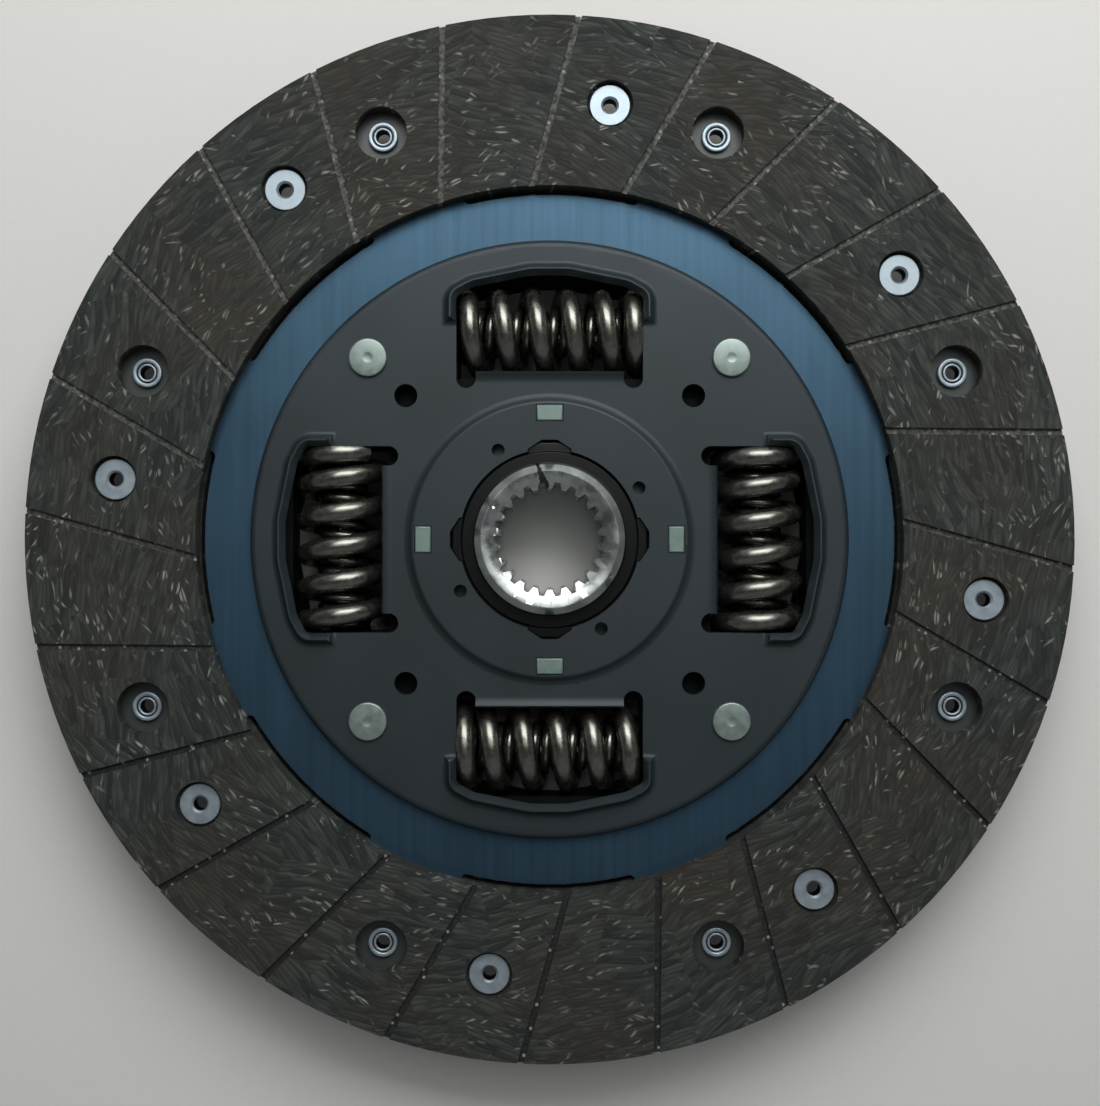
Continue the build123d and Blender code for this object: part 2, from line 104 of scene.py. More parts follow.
class ClutchSizes(bpy.types.PropertyGroup):
    """Sizes of the pieces that are finished here."""

    spring_circle: length("Spring circle", 45.6, "Radius on which the damper springs lie")
    outer_coil: length("Outer coil", 8.1, "Radius of an outer spring, to the middle of its wire")
    outer_wire: length("Outer wire", 2.2, "Radius of an outer spring's wire")
    outer_pitch: length("Outer pitch", 7.43, "Rise of one free turn of an outer spring")
    outer_closed: share("Outer closed turns", 0.6, "Closed turns at each end of an outer spring")
    inner_coil: length("Inner coil", 4.5, "Radius of an inner spring, to the middle of its wire")
    inner_wire: length("Inner wire", 1.1, "Radius of an inner spring's wire")
    inner_pitch: length("Inner pitch", 2.73, "Rise of one free turn of an inner spring")
    inner_closed: share("Inner closed turns", 0.75, "Closed turns at each end of an inner spring")
    end_rise: share("End rise", 0.68, "Rise of a closed turn, in wire thicknesses")
    end_grind: share("End grind", 0.45, "Wire left past its middle at a ground end, in wire radii")
    rivet_circle: length("Rivet circle", 94.4, "Radius on which the facings' rivets lie")
    rivet_bore: length("Rivet bore", 1.5, "Radius of a rivet's bore")
    rivet_rim: length("Rivet countersink", 0.45, "Width of the countersink in a rivet's head")
    rivet_head: length("Rivet head", 4.4, "Radius of a rivet's head")
    rivet_head_depth: length("Rivet head thickness", 0.9, "Thickness of a rivet's head")
    rivet_shank: length("Rivet shank", 2.0, "Radius of a rivet's shank")
    rivet_roll: length("Rivet roll", 3.2, "Outer radius of a rivet's rolled end")
    rivet_roll_depth: length("Rivet roll depth", 1.1, "Height of a rivet's rolled end")
    pin_circle: length("Pin circle", 55.3, "Radius on which the stop pins lie")
    pin_body: length("Pin body", 4.8, "Radius of a stop pin between the plates")
    pin_neck: length("Pin neck", 3.2, "Radius of a stop pin in its holes")
    pin_head: length("Pin head", 4.1, "Radius of a stop pin's riveted heads")
    pin_head_depth: length("Pin head thickness", 0.9, "Height of a stop pin's heads")
    pin_dimple: length("Pin dimple", 1.0, "Radius of the dimple that riveting leaves")


class ClutchColours(bpy.types.PropertyGroup):
    """Colours of the finishes."""

    yarn_dark: colour("Yarn, dark", "202625", "Resin-soaked yarn between the strands")
    yarn_mid: colour("Yarn", "424742", "Strands of the friction yarn")
    yarn_brown: colour("Yarn, brown", "3c342b", "Brown drift of the resin")
    # Partly painted highlight: these pale strands also stand in for the glints of strands that face the light.
    yarn_light_and_glint: colour("Yarn, light", "92938a", "Strands that the grinding laid bare")
    # Partly painted light: the dust is laid thicker towards the top, where it also stands for the lit floor of
    # the grooves.
    dust: colour("Dust", "74756f", "Dust in the grooves")
    crumb: colour("Crumb", "9a9b95", "Pale crumbs in the grooves")
    pressed: colour("Pressed steel", "2b3539", "Heat-treated plates")
    blued: colour("Blued steel", "3c586b", "Tempered cushion disc")
    # Painted shade: the cushion disc under the facings is given this darker colour.
    facing_shade: colour("Blued steel, covered", "3c4341", "Cushion disc under the facings")
    machined: colour("Machined steel", "c3c9c7", "Turned hub")
    scale: colour("Forging scale", "1d2022", "Flange of the hub")
    paint: colour("Paint", "0a0c0c", "Brush mark on the hub's end")
    wire: colour("Spring wire", "85857d", "Oil-tempered wire")
    rivet: colour("Rivet", "a9b8c0", "Zinc-plated rivets")
    pin: colour("Stop pin", "93a39d", "Plated stop pins")
    washer: colour("Thrust washer", "80958e", "Plated thrust washer")
    # Painted shade: this dark colour is painted into the rivets' bores and onto the washer under the plate.
    painted_shade: colour("Greased steel", "101414", "Washer under the plate, and the bores of the rivets")
    bush: colour("Bush", "08090a", "Moulded bushes")
    pad: colour("Friction washer", "2a241d", "Moulded friction washers")
    floor: colour("Floor", "e4e3df", "Studio floor")
    floor_shade: colour("Floor, shaded", "6c6860", "What the floor throws back at the part")


def node(tree, kind, inputs=(), out=0, **settings):
    """Adds a node with its settings, links or sets its inputs, and gives one of its outputs."""
    made = tree.nodes.new("ShaderNode" + kind)
    for name, value in settings.items():
        setattr(made, name, value)
    pairs = inputs.items() if isinstance(inputs, dict) else enumerate(inputs)
    for name, value in pairs:
        socket = made.inputs[name]
        if isinstance(value, bpy.types.NodeSocket):
            tree.links.new(value, socket)
        elif socket.type == "RGBA" and len(value) == 3:
            socket.default_value = (*value, 1.0)
        else:
            socket.default_value = value
    return made.outputs[out]


def surface(name, **sockets):
    """A new material with its shader's constant sockets set, and the place that patterns read."""
    made = bpy.data.materials.new(name)
    made.use_nodes = True
    tree = made.node_tree
    shader = tree.nodes["Principled BSDF"]
    for socket, value in sockets.items():
        shader.inputs[socket.replace("_", " ")].default_value = value
    return made, tree, shader, node(tree, "TexCoord", out="Object")


def shaded(code, share):
    """A colour made darker or lighter by a share."""
    return tuple(share * c for c in code)


def yarn_lay(tree, place, patch, thread, width, spread):
    """Strands of yarn in patches, each laid near the disc's tangent at its own slant.

    Gives each strand's own tone and the distance to its edge, in strand widths.
    """
    wander = node(tree, "TexNoise", {"Vector": place, "Scale": 0.6 / patch, "Detail": 1.0}, "Color")
    bent = node(tree, "VectorMath", (wander, (0.45 * patch,) * 3, place), operation="MULTIPLY_ADD")
    chance = node(
        tree, "TexVoronoi", {"Vector": bent, "Scale": 1 / patch}, "Color", voronoi_dimensions="2D",
    )
    x = node(tree, "SeparateXYZ", (chance.node.outputs["Position"],))
    around = node(tree, "Math", (x.node.outputs["Y"], x), operation="ARCTAN2")
    slant = node(tree, "SeparateColor", (chance,))
    turn = node(tree, "Math", (slant, -spread, spread / 2 - QUARTER), operation="MULTIPLY_ADD")
    turn = node(tree, "Math", (turn, around), operation="SUBTRACT")
    along = node(tree, "VectorRotate", {"Vector": bent, "Angle": turn}, rotation_type="Z_AXIS")
    squeezed = node(
        tree, "VectorMath", (along, (1 / thread, 1 / width, 1 / width)), operation="MULTIPLY",
    )
    own = node(tree, "VectorMath", (chance, (50, 50, 50), squeezed), operation="MULTIPLY_ADD")
    strand = {"Vector": own, "Scale": 1.0, "Randomness": 1.0}
    tone = node(tree, "TexVoronoi", strand, "Color", voronoi_dimensions="2D")
    edge = node(
        tree, "TexVoronoi", strand, "Distance", voronoi_dimensions="2D", feature="DISTANCE_TO_EDGE",
    )
    return node(tree, "SeparateColor", (tone,)), edge


def friction_yarn(tint):
    """Resin-bonded friction yarn, wound, pressed and ground: matt, with short flat strands.

    The strands are shown half as wide again as they are, so that they can be seen. Pale strands are brightened
    to stand in as painted glints as well, the grooves are painted dark as shade, and their dust is laid
    thicker towards the top as painted light.
    """
    made, tree, shader, place = surface("pressed_friction_yarn", Roughness=0.82, Specular_IOR_Level=0.35)
    deep, deep_edge = yarn_lay(tree, place, 15 * MM, 6.0 * MM, 0.95 * MM, 0.85)
    top, top_edge = yarn_lay(tree, place, 6 * MM, 2.3 * MM, 0.6 * MM, 1.6)
    body = node(tree, "Mix", {0: deep, 6: tint.yarn_dark, 7: tint.yarn_mid}, 2, data_type="RGBA")
    drift = node(tree, "TexNoise", {"Vector": place, "Scale": 1 / (28 * MM), "Detail": 2.0})
    drift = node(tree, "MapRange", (drift, 0.42, 0.66, 0.0, 0.55))
    body = node(tree, "Mix", {0: drift, 6: body, 7: tint.yarn_brown}, 2, data_type="RGBA")
    seam = node(tree, "MapRange", (deep_edge, 0.0, 0.35, 0.45, 0.0))
    body = node(tree, "Mix", {0: seam, 6: body, 7: shaded(tint.yarn_dark, 0.5)}, 2, data_type="RGBA")
    # Pale bare strands, brightened so that they also stand in as painted glints.
    bare_and_glint = node(tree, "MapRange", (top, 0.88, 1.0, 0.25, 1.0))
    inside = node(tree, "MapRange", (top_edge, 0.05, 0.4, 0.0, 1.0))
    shown = node(tree, "Math", (top, 0.88), operation="GREATER_THAN")
    inside = node(tree, "Math", (inside, shown), operation="MULTIPLY")
    bare_and_glint = node(tree, "Math", (bare_and_glint, inside), operation="MULTIPLY")
    worn = node(tree, "TexNoise", {"Vector": place, "Scale": 1 / (12 * MM), "Detail": 1.0})
    worn = node(tree, "MapRange", (worn, 0.38, 0.6, 0.15, 1.0))
    bare_and_glint = node(tree, "Math", (bare_and_glint, worn), operation="MULTIPLY")
    yarn = node(tree, "Mix", {0: bare_and_glint, 6: body, 7: tint.yarn_light_and_glint}, 2, data_type="RGBA")

    across = node(tree, "SeparateXYZ", (place,), "Y")
    level = node(tree, "Math", (across.node.outputs["Z"],), operation="ABSOLUTE")
    over = node(tree, "MapRange", (level, FACE_Z - 0.95 * MM, FACE_Z - 0.9 * MM, 0.0, 1.0))
    under = node(tree, "MapRange", (level, FACE_Z - 0.5 * MM, FACE_Z - 0.2 * MM, 1.0, 0.0))
    groove = node(tree, "Math", (over, under), operation="MULTIPLY")
    lumps = node(tree, "TexNoise", {"Vector": place, "Scale": 1 / (0.9 * MM), "Detail": 2.0})
    dust_and_light = node(tree, "MapRange", (lumps, 0.35, 0.75, 0.2, 1.0))
    # Painted light: the dust is laid thicker towards the top, so that the groove floors there read as lit and
    # those lower down as shaded.
    lit_towards_top = node(tree, "MapRange", (across, -50 * MM, 30 * MM, 0.12, 1.0))
    dust_and_light = node(tree, "Math", (dust_and_light, lit_towards_top), operation="MULTIPLY")
    # Painted shade: the floor and walls of the grooves are painted dark, before their dust and crumbs are laid
    # over.
    yarn = node(tree, "Mix", {0: groove, 6: yarn, 7: shaded(tint.yarn_dark, 0.4)}, 2, data_type="RGBA")
    dust_and_light = node(tree, "Math", (dust_and_light, groove), operation="MULTIPLY")
    yarn = node(tree, "Mix", {0: dust_and_light, 6: yarn, 7: tint.dust}, 2, data_type="RGBA")
    crumbs = {"Vector": place, "Scale": 1 / (3.2 * MM)}
    crumbs = node(tree, "TexVoronoi", crumbs, "Distance", voronoi_dimensions="2D")
    crumbs = node(tree, "Math", (lumps, 0.12, crumbs), operation="MULTIPLY_ADD")
    crumbs = node(tree, "MapRange", (crumbs, 0.1, 0.2, 1.0, 0.0))
    crumbs = node(tree, "Math", (crumbs, groove), operation="MULTIPLY")
    yarn = node(tree, "Mix", {0: crumbs, 6: yarn, 7: tint.crumb}, 2, data_type="RGBA")
    tree.links.new(yarn, shader.inputs["Base Color"])

    deep_rise = node(tree, "MapRange", (deep_edge, 0.0, 0.45, 0.0, 0.5))
    top_rise = node(tree, "Math", (bare_and_glint, 0.5, deep_rise), operation="MULTIPLY_ADD")
    bump = node(tree, "Bump", {"Height": top_rise, "Distance": 0.18 * MM, "Strength": 0.7})
    tree.links.new(bump, shader.inputs["Normal"])
    return made


def pressed_steel(tint):
    """Sheet steel, pressed, heat-treated and phosphated: dark blue-grey, satin, slightly uneven."""
    made, tree, shader, place = surface("phosphated_pressed_steel", Metallic=0.3)
    cloud = node(tree, "TexNoise", {"Vector": place, "Scale": 1 / (22 * MM), "Detail": 3.0})
    cloud = node(tree, "MapRange", (cloud, 0.3, 0.7, 0.0, 1.0))
    base = {0: cloud, 6: shaded(tint.pressed, 0.8), 7: tint.pressed}
    tree.links.new(node(tree, "Mix", base, 2, data_type="RGBA"), shader.inputs["Base Color"])
    grain = node(tree, "TexNoise", {"Vector": place, "Scale": 1 / (0.6 * MM), "Detail": 2.0})
    tree.links.new(node(tree, "MapRange", (grain, 0.0, 1.0, 0.4, 0.58)), shader.inputs["Roughness"])
    bump = node(tree, "Bump", {"Height": grain, "Distance": 0.02 * MM, "Strength": 0.5})
    tree.links.new(bump, shader.inputs["Normal"])
    return made


def blued_steel(tint):
    """Spring steel strip, rolled and tempered: steel blue, with painted shade where the facings cover it,
    which makes it darker and less metallic.
    """
    made, tree, shader, place = surface("tempered_spring_steel")
    drift = node(tree, "TexNoise", {"Vector": place, "Scale": 1 / (30 * MM), "Detail": 2.0})
    drift = node(tree, "MapRange", (drift, 0.3, 0.7, 0.0, 1.0))
    mixed = {0: drift, 6: shaded(tint.blued, 0.75), 7: tint.blued}
    base = node(tree, "Mix", mixed, 2, data_type="RGBA")
    rolled = node(tree, "VectorMath", (place, (1 / (1.5 * MM), 1 / (60 * MM), 0.0)), operation="MULTIPLY")
    rolled = node(tree, "TexNoise", {"Vector": rolled, "Scale": 1.0, "Detail": 3.0})
    rolled = node(tree, "MapRange", (rolled, 0.3, 0.75, 0.0, 0.35))
    base = node(tree, "Mix", {0: rolled, 6: base, 7: shaded(tint.blued, 1.6)}, 2, data_type="RGBA")
    flat = node(tree, "VectorMath", (place, (1.0, 1.0, 0.0)), operation="MULTIPLY")
    radius = node(tree, "VectorMath", (flat,), "Value", operation="LENGTH")
    # Painted shade: under the facings the disc is painted darker and made less metallic.
    facing_shade = node(tree, "MapRange", (radius, 75.5 * MM, 79.0 * MM, 0.0, 1.0))
    base = node(tree, "Mix", {0: facing_shade, 6: base, 7: tint.facing_shade}, 2, data_type="RGBA")
    tree.links.new(node(tree, "MapRange", (facing_shade, 0.0, 1.0, 0.8, 0.1)), shader.inputs["Metallic"])
    tree.links.new(base, shader.inputs["Base Color"])
    grain = node(tree, "TexNoise", {"Vector": place, "Scale": 1 / (0.5 * MM), "Detail": 2.0})
    tree.links.new(node(tree, "MapRange", (grain, 0.0, 1.0, 0.32, 0.44)), shader.inputs["Roughness"])
    bump = node(tree, "Bump", {"Height": grain, "Distance": 0.015 * MM, "Strength": 0.5})
    tree.links.new(bump, shader.inputs["Normal"])
    return made


def turned_steel(tint):
    """Forged steel: bright where the ends and the bore were turned, dark scale on the flange.

    The front end has rings left by the tool, shown twice as wide as they are so that they can
    be seen, two small nicks and a stroke of paint.
    """
    made, tree, shader, place = surface("turned_steel")
    flat = node(tree, "VectorMath", (place, (1.0, 1.0, 0.0)), operation="MULTIPLY")
    radius = node(tree, "VectorMath", (flat,), "Value", operation="LENGTH")
    height = node(tree, "SeparateXYZ", (place,), "Z")
    cloud = node(tree, "TexNoise", {"Vector": place, "Scale": 1 / (3 * MM), "Detail": 3.0})
    bright = node(tree, "MapRange", (cloud, 0.35, 0.65, 0.0, 1.0))
    mixed = {0: bright, 6: shaded(tint.machined, 0.72), 7: tint.machined}
    base = node(tree, "Mix", mixed, 2, data_type="RGBA")
    scaled = node(tree, "MapRange", (radius, 16.2 * MM, 16.6 * MM, 0.0, 1.0))
    base = node(tree, "Mix", {0: scaled, 6: base, 7: tint.scale}, 2, data_type="RGBA")

    start, end = Vector((-2.5, 15.6, 0)) * MM, Vector((-1.0, 11.5, 0)) * MM
    stroke = end - start
    run = node(tree, "VectorMath", (flat, start), operation="SUBTRACT")
    part = node(tree, "VectorMath", (run, stroke / stroke.length_squared), "Value", operation="DOT_PRODUCT")
    part = node(tree, "Math", (part, 1.0), operation="MINIMUM")
    part = node(tree, "Math", (part, 0.0), operation="MAXIMUM")
    foot = node(tree, "VectorMath", {0: stroke, 3: part}, operation="SCALE")
    gap = node(tree, "VectorMath", (run, foot), "Value", operation="DISTANCE")
    ragged = node(tree, "TexNoise", {"Vector": place, "Scale": 1 / (0.8 * MM), "Detail": 2.0})
    wide = node(tree, "Math", (part, 0.55 * MM, 0.1 * MM), operation="MULTIPLY_ADD")
    wide = node(tree, "Math", (ragged, 0.7 * MM, wide), operation="MULTIPLY_ADD")
    edge = node(tree, "Math", (wide, gap), operation="SUBTRACT")
    paint = node(tree, "MapRange", (edge, 0.0, 0.15 * MM, 0.0, 1.0))
    front = node(tree, "MapRange", (height, 3 * MM, 3.2 * MM, 0.0, 1.0))
    paint = node(tree, "Math", (paint, front), operation="MULTIPLY")
    base = node(tree, "Mix", {0: paint, 6: base, 7: tint.paint}, 2, data_type="RGBA")
    tree.links.new(base, shader.inputs["Base Color"])
    tree.links.new(node(tree, "MapRange", (paint, 0.0, 1.0, 1.0, 0.0)), shader.inputs["Metallic"])
    rough = node(tree, "MapRange", (cloud, 0.3, 0.7, 0.2, 0.34))
    rough = node(tree, "Math", (scaled, 0.22, rough), operation="MULTIPLY_ADD")
    chamfer = node(tree, "MapRange", (radius, 14.5 * MM, 14.7 * MM, 0.0, 0.2))
    rough = node(tree, "Math", (chamfer, rough), operation="ADD")
    rough = node(tree, "Math", (paint, 0.2, rough), operation="MULTIPLY_ADD")
    tree.links.new(rough, shader.inputs["Roughness"])

    feed = 0.35 * MM
    travel = node(tree, "Math", (radius, height), operation="ADD")
    rings = node(tree, "Math", (travel, 2 * pi / feed), operation="MULTIPLY")
    rings = node(tree, "Math", (rings,), operation="SINE")
    relief = node(tree, "Math", (rings, 0.002), operation="MULTIPLY")
    for x, y, size in ((-12.0, 7.1, 0.7), (12.9, -7.7, 0.5)):
        away = node(tree, "VectorMath", (flat, (x * MM, y * MM, 0)), "Value", operation="DISTANCE")
        nick = node(tree, "MapRange", (away, 0.0, size * MM, 1.0, 0.0), interpolation_type="SMOOTHSTEP")
        relief = node(tree, "Math", (nick, -1.0, relief), operation="MULTIPLY_ADD")
    bump = node(tree, "Bump", {"Height": relief, "Distance": 0.3 * MM, "Strength": 1.0})
    tree.links.new(bump, shader.inputs["Normal"])
    return made


def oiled_wire(tint):
    """Oil-tempered spring wire: a dark skin that shines under its film of oil."""
    made, tree, shader, place = surface("oil_tempered_wire", Metallic=0.95)
    skin = node(tree, "TexNoise", {"Vector": place, "Scale": 1 / (1.4 * MM), "Detail": 3.0})
    mixed = {0: node(tree, "MapRange", (skin, 0.3, 0.7, 0.0, 1.0)), 6: shaded(tint.wire, 0.7), 7: tint.wire}
    tree.links.new(node(tree, "Mix", mixed, 2, data_type="RGBA"), shader.inputs["Base Color"])
    tree.links.new(node(tree, "MapRange", (skin, 0.3, 0.7, 0.22, 0.33)), shader.inputs["Roughness"])
    bump = node(tree, "Bump", {"Height": skin, "Distance": 0.02 * MM, "Strength": 0.4})
    tree.links.new(bump, shader.inputs["Normal"])
    return made


def plated_steel(name, base, low, high, dark):
    """Cold-headed steel with a thin zinc plate: pale, satin, faintly clouded.

    A bore, or what lies under the plate, is painted dark as shade: its share of that is an attribute.
    """
    made, tree, shader, place = surface(name, Metallic=0.65)
    cloud = node(tree, "TexNoise", {"Vector": place, "Scale": 1 / (1.8 * MM), "Detail": 3.0})
    mixed = {0: node(tree, "MapRange", (cloud, 0.3, 0.7, 0.0, 1.0)), 6: shaded(base, 0.82), 7: base}
    pale = node(tree, "Mix", mixed, 2, data_type="RGBA")
    # Painted shade: the marked points take the dark colour.
    painted_shade = node(tree, "Attribute", out="Fac", attribute_name="painted_shade")
    pale = node(tree, "Mix", {0: painted_shade, 6: pale, 7: dark}, 2, data_type="RGBA")
    tree.links.new(pale, shader.inputs["Base Color"])
    tree.links.new(node(tree, "MapRange", (cloud, 0.3, 0.7, low, high)), shader.inputs["Roughness"])
    bump = node(tree, "Bump", {"Height": cloud, "Distance": 0.02 * MM, "Strength": 0.4})
    tree.links.new(bump, shader.inputs["Normal"])
    return made


def moulded(name, base, low, high):
    """Injection-moulded polyamide: dark and half glossy, with the faint texture of its mould."""
    made, tree, shader, place = surface(name, IOR=1.53)
    grain = node(tree, "TexNoise", {"Vector": place, "Scale": 1 / (0.7 * MM), "Detail": 2.0})
    mixed = {0: grain, 6: shaded(base, 0.8), 7: shaded(base, 1.4)}
    tree.links.new(node(tree, "Mix", mixed, 2, data_type="RGBA"), shader.inputs["Base Color"])
    tree.links.new(node(tree, "MapRange", (grain, 0.0, 1.0, low, high)), shader.inputs["Roughness"])
    bump = node(tree, "Bump", {"Height": grain, "Distance": 0.01 * MM, "Strength": 0.4})
    tree.links.new(bump, shader.inputs["Normal"])
    return made


def finish(name):
    """The material of the given name, made the first time that a piece asks for it."""
    if name in bpy.data.materials:
        return bpy.data.materials[name]
    tint = bpy.context.scene.clutch_colours
    makers = {
        "pressed_friction_yarn": lambda: friction_yarn(tint),
        "phosphated_pressed_steel": lambda: pressed_steel(tint),
        "tempered_spring_steel": lambda: blued_steel(tint),
        "turned_steel": lambda: turned_steel(tint),
        "oil_tempered_wire": lambda: oiled_wire(tint),
        "zinc_plated_rivet": lambda: plated_steel("zinc_plated_rivet", tint.rivet, 0.34, 0.5, tint.painted_shade),
        "zinc_plated_pin": lambda: plated_steel("zinc_plated_pin", tint.pin, 0.3, 0.45, tint.painted_shade),
        "plated_washer": lambda: plated_steel("plated_washer", tint.washer, 0.4, 0.6, tint.painted_shade),
        "moulded_polyamide": lambda: moulded("moulded_polyamide", tint.bush, 0.18, 0.26),
        "moulded_friction_pad": lambda: moulded("moulded_friction_pad", tint.pad, 0.6, 0.8),
    }
    return makers[name]()


def deselect():
    bpy.ops.object.select_all(action="DESELECT")


def edit(piece):
    """Starts edit mode on one piece, with all of its mesh selected."""
    deselect()
    piece.select_set(True)
    bpy.context.view_layer.objects.active = piece
    bpy.ops.object.mode_set(mode="EDIT")
    bpy.ops.mesh.select_all(action="SELECT")


def smooth(piece, angle):
    deselect()
    piece.select_set(True)
    bpy.context.view_layer.objects.active = piece
    bpy.ops.object.shade_smooth_by_angle(angle=radians(angle))


def dress(piece, material, body, slot, *nodes):
    """Gives a finished piece its material, its body and the nodes that it stands for."""
    piece.data.materials.clear()
    piece.data.materials.append(finish(material))
    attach(piece, body)
    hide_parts(*nodes)


def paint_shade(piece, inside):
    """Marks the points of a piece that are painted dark as shade."""
    mark = piece.data.attributes.new("painted_shade", "FLOAT", "POINT")
    for vertex, value in zip(piece.data.vertices, mark.data):
        value.value = 1.0 if inside(vertex.co) else 0.0


def room(edge, sharp):
    """How far a bevel of an edge may reach before it meets the next corner at either end."""
    least = 1.0
    for vertex in edge.verts:
        along = edge.other_vert(vertex).co - vertex.co
        for other in vertex.link_edges:
            away = other.other_vert(vertex).co - vertex.co
            turn = along.angle(away)
            if other is edge or turn > radians(150):
                continue
            reach = away.length * sin(turn)
            least = min(least, reach / 2 if other in sharp else reach)
    return least


def crowded(edge, near, width):
    """Whether another sharp edge runs beside this one, too close for two bevels."""
    middle = (edge.verts[0].co + edge.verts[1].co) / 2
    along = (edge.verts[1].co - edge.verts[0].co).normalized()
    for point, index, gap in near.find_range(middle, 2.3 * width):
        if index != edge.index and gap > 0 and abs((point - middle).dot(along)) < 0.5 * gap:
            return True
    return False


def ease(piece, width, steps, sharp_from, sharp_to=180, ring=(0, 1)):
    """Bevels each edge of a piece that turns by an angle in a range and has room for it.

    The edges lie between two radii about the axis.
    """
    edit(piece)
    bpy.ops.mesh.select_mode(type="EDGE")
    bpy.ops.mesh.select_all(action="DESELECT")
    mesh = bmesh.from_edit_mesh(piece.data)
    mesh.edges.index_update()
    sharp = {
        edge for edge in mesh.edges
        if len(edge.link_faces) == 2 and radians(sharp_from) < edge.calc_face_angle() < radians(sharp_to)
        and all(ring[0] <= vertex.co.xy.length <= ring[1] for vertex in edge.verts)
    }
    points = []
    for edge in sharp:
        ends = [vertex.co for vertex in edge.verts]
        parts = max(1, round(edge.calc_length() / width))
        points += [(ends[0].lerp(ends[1], (i + 0.5) / parts), edge.index) for i in range(parts)]
    near = kdtree.KDTree(len(points))
    for point, index in points:
        near.insert(point, index)
    near.balance()
    for edge in sharp:
        edge.select = room(edge, sharp) > 1.1 * width and not crowded(edge, near, width)
    bmesh.update_edit_mesh(piece.data)
    bpy.ops.mesh.bevel(offset=width, segments=steps, clamp_overlap=ring[0] == 0)
    bpy.ops.mesh.select_mode(type="VERT")
    bpy.ops.mesh.select_all(action="SELECT")
    bpy.ops.mesh.remove_doubles(threshold=0.001 * MM)
    bpy.ops.object.mode_set(mode="OBJECT")


def eased(source, name, *widths, sharp_from=SHARP_ANGLE, slopes=(), steps=2):
    """A copy of a node's solid, with its sharp edges eased by small bevels, the widest first.

    The top and the foot of a pressed slope are rounded first, each found between two radii.
    """
    piece = bpy.data.objects.new(name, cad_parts[source].data.copy())
    bpy.context.collection.objects.link(piece)
    edit(piece)
    bpy.ops.mesh.remove_doubles(threshold=0.001 * MM)
    bpy.ops.mesh.dissolve_limited(angle_limit=radians(1))
    bpy.ops.object.mode_set(mode="OBJECT")
    for width, *ring in slopes:
        ease(piece, width, 4, 40, 50, ring)
    for width in widths:
        ease(piece, width, steps, sharp_from)
    smooth(piece, sharp_from)
    weigh = piece.modifiers.new("normals", "WEIGHTED_NORMAL")
    weigh.keep_sharp = True
    weigh.weight = 90
    bpy.ops.object.modifier_apply(modifier="normals")
    return piece


def arc(centre, radii, start, end, steps):
    """Points of (radius, height) on part of an ellipse, from one angle in degrees to another."""
    angles = [radians(start + (end - start) * i / steps) for i in range(steps + 1)]
    return [(centre[0] + radii[0] * cos(a), centre[1] + radii[1] * sin(a)) for a in angles]


def turned(name, profile, sides=48):
    """A piece turned about Z, drawn out ring by ring along its profile of (radius, height)."""
    deselect()
    solid = profile[0][0] == 0
    rings = profile[1:-1] if solid else profile + profile[:1]
    bpy.ops.mesh.primitive_circle_add(vertices=sides, radius=rings[0][0], location=(0, 0, 0))
    piece = bpy.context.object
    piece.name = name
    edit(piece)
    bpy.ops.transform.translate(value=(0, 0, rings[0][1]))
    for before, after in zip(rings, rings[1:]):
        rise = (0, 0, after[1] - before[1])
        bpy.ops.mesh.extrude_region_move(TRANSFORM_OT_translate={"value": rise})
        grow = after[0] / before[0]
        bpy.ops.transform.resize(value=(grow, grow, 1), center_override=(0, 0, after[1]))
    if solid:
        cap(rings[-1], profile[-1])
        bpy.ops.mesh.select_all(action="DESELECT")
        bpy.ops.object.mode_set(mode="OBJECT")
        for vertex in piece.data.vertices[:sides]:
            vertex.select = True
        bpy.ops.object.mode_set(mode="EDIT")
        cap(rings[0], profile[0])
    bpy.ops.mesh.select_all(action="SELECT")
    bpy.ops.mesh.remove_doubles(threshold=0.001 * MM)
    bpy.ops.mesh.normals_make_consistent(inside=False)
    bpy.ops.object.mode_set(mode="OBJECT")
    smooth(piece, 42)
    return piece


def cap(before, after):
    """Closes the selected ring in a point on the axis."""
    bpy.ops.mesh.extrude_region_move(TRANSFORM_OT_translate={"value": (0, 0, after[1] - before[1])})
    bpy.ops.mesh.merge(type="CENTER")


def copied(pattern, name, matrix):
    """A copy of a piece with its own mesh, whose place is in that mesh."""
    piece = bpy.data.objects.new(name, pattern.data.copy())
    bpy.context.collection.objects.link(piece)
    piece.data.transform(matrix)
    return piece


def around(radius, angle):
    """Place on a circle about the shaft's axis."""
    return Matrix.Translation(Vector((radius * cos(angle), radius * sin(angle), 0)))


